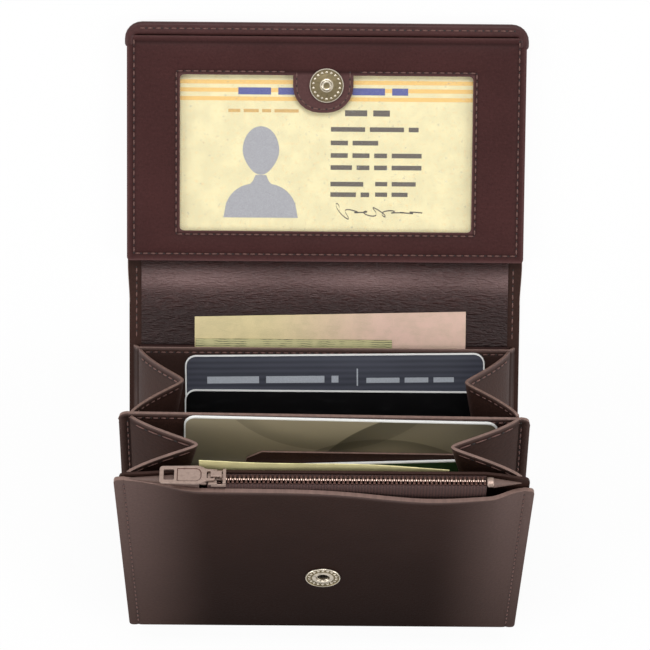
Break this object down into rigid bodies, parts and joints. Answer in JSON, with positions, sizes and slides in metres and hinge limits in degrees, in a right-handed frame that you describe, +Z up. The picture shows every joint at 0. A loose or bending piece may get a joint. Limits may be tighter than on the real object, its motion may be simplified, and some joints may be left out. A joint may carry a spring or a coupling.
{
  "type": "snap wallet",
  "caption": "Opened leather snap wallet: a folding shell with a windowed flap and press-stud, an accordion of pockets and a zipped coin pouch.",
  "frame": {"origin": "centre of the open wallet's footprint, on the surface that it lies on", "axes": "+X along the folds, to the right with the pouch nearest; +Y from the pockets to the flap's free end; +Z up"},
  "size_m": [0.1142, 0.1728, 0.0655],
  "materials": {
    "shell_leather": "dark brown grained leather, soft sheen",
    "divider_leather": "dark brown grained leather",
    "thin_leather": "reddish dark brown grained leather",
    "lining_leather": "dark brown lining leather, wrinkled",
    "antique_nickel": "antique nickel",
    "zip_metal": "taupe bronze zip metal",
    "teeth_metal": "dark bronze teeth",
    "zip_tape": "dark woven tape",
    "pale_paper": "printed paper",
    "yellow_paper": "printed paper",
    "slate_card": "slate card with white edge",
    "black_card": "black card with white edge",
    "pattern_card": "grey-green card with white edge",
    "green_card": "dark green card with white edge",
    "id_card": "cream identity card",
    "clear_film": "clear window film"
  },
  "bodies": {
    "back": {"back_panel": "shell_leather", "back_lining": "lining_leather", "bill_divider": "divider_leather", "rear_note": "pale_paper", "edge_note": "pale_paper"},
    "spine": {"spine_panel": "shell_leather", "spine_lining": "lining_leather"},
    "flap": {"flap_panel": "shell_leather", "flap_lining": "lining_leather", "flap_frame": "thin_leather", "flap_edge_roll": "shell_leather", "id_window": "clear_film", "snap_stud": "antique_nickel", "stud_rivet": "antique_nickel"},
    "middle_leaf": {"middle_panel": "divider_leather", "slot_panel": "thin_leather", "rear_gusset_left": "divider_leather", "rear_gusset_right": "divider_leather", "rear_pleat": "divider_leather"},
    "coin_pouch": {"pouch_rear_wall": "divider_leather", "pouch_front_panel": "shell_leather", "zip_tape_front": "zip_tape", "zip_tape_rear": "zip_tape", "zip_teeth_front": "teeth_metal", "zip_teeth_rear": "teeth_metal", "zip_stop_left": "zip_metal", "zip_stop_right": "zip_metal", "zip_end_tab_left": "zip_tape", "zip_end_tab_right": "zip_tape", "snap_socket": "antique_nickel", "socket_washer": "antique_nickel", "socket_spring": "antique_nickel", "front_gusset_left": "divider_leather", "front_gusset_right": "divider_leather", "front_pleat": "divider_leather"},
    "zip_slider": {"slider_body": "zip_metal", "slider_base": "zip_metal"},
    "zip_pull": {"pull_tab": "zip_metal"},
    "slate_card": {"slate_card": "slate_card"},
    "black_card": {"black_card": "black_card"},
    "pattern_card": {"pattern_card": "pattern_card"},
    "green_card": {"green_card": "green_card"},
    "front_note": {"front_note": "yellow_paper"},
    "id_card": {"id_card": "id_card"}
  },
  "joints": [
    {"name": "spine_fold", "type": "hinge", "parent": "back", "child": "spine", "pos_m": [0, -0.00505, 0.0006], "axis": [-1, 0, 0], "range_deg": [-90, 0], "deforming": ["spine_lining", "rear_note", "edge_note"]},
    {"name": "flap_fold", "type": "hinge", "parent": "spine", "child": "flap", "pos_m": [0, 0.01764, 0.0006], "axis": [-1, 0, 0], "range_deg": [-95.2, 0]},
    {"name": "middle_fan", "type": "hinge", "parent": "back", "child": "middle_leaf", "pos_m": [0, -0.08092, 0.00566], "axis": [1, 0, 0], "range_deg": [-30.8, 0], "deforming": ["rear_gusset_left", "rear_gusset_right", "rear_pleat"]},
    {"name": "coin_fan", "type": "hinge", "parent": "middle_leaf", "child": "coin_pouch", "pos_m": [0, -0.08333, 0.009], "axis": [1, 0, 0], "range_deg": [-12, 0], "deforming": ["front_gusset_left", "front_gusset_right", "front_pleat"]},
    {"name": "zip_slide", "type": "slide", "parent": "coin_pouch", "child": "zip_slider", "axis": [1, 0, 0], "range_m": [0, 0.0692]},
    {"name": "pull_swing", "type": "hinge", "parent": "zip_slider", "child": "zip_pull", "pos_m": [-0.0294, -0.03238, 0.06338], "axis": [0, 0.7071, -0.7071], "range_deg": [0, 130]},
    {"name": "slate_card_slide", "type": "slide", "parent": "back", "child": "slate_card", "axis": [0, 0.9993, 0.0384], "range_m": [0, 0.03]},
    {"name": "black_card_slide", "type": "slide", "parent": "back", "child": "black_card", "axis": [0, 0.9993, 0.0384], "range_m": [0, 0.03]},
    {"name": "pattern_card_slide", "type": "slide", "parent": "middle_leaf", "child": "pattern_card", "axis": [0, 0.8387, 0.5446], "range_m": [0, 0.03]},
    {"name": "green_card_slide", "type": "slide", "parent": "middle_leaf", "child": "green_card", "axis": [0, 0.8387, 0.5446], "range_m": [0, 0.03]},
    {"name": "front_note_slide", "type": "slide", "parent": "coin_pouch", "child": "front_note", "axis": [0, 0.7071, 0.7071], "range_m": [0, 0.03]},
    {"name": "id_card_slide", "type": "slide", "parent": "flap", "child": "id_card", "axis": [0, -1, 0], "range_m": [0, 0.016]}
  ],
  "couplings": [
    {"joint": "middle_fan", "follows": "spine_fold", "ratio": 0.34222},
    {"joint": "coin_fan", "follows": "spine_fold", "ratio": 0.13333}
  ]
}
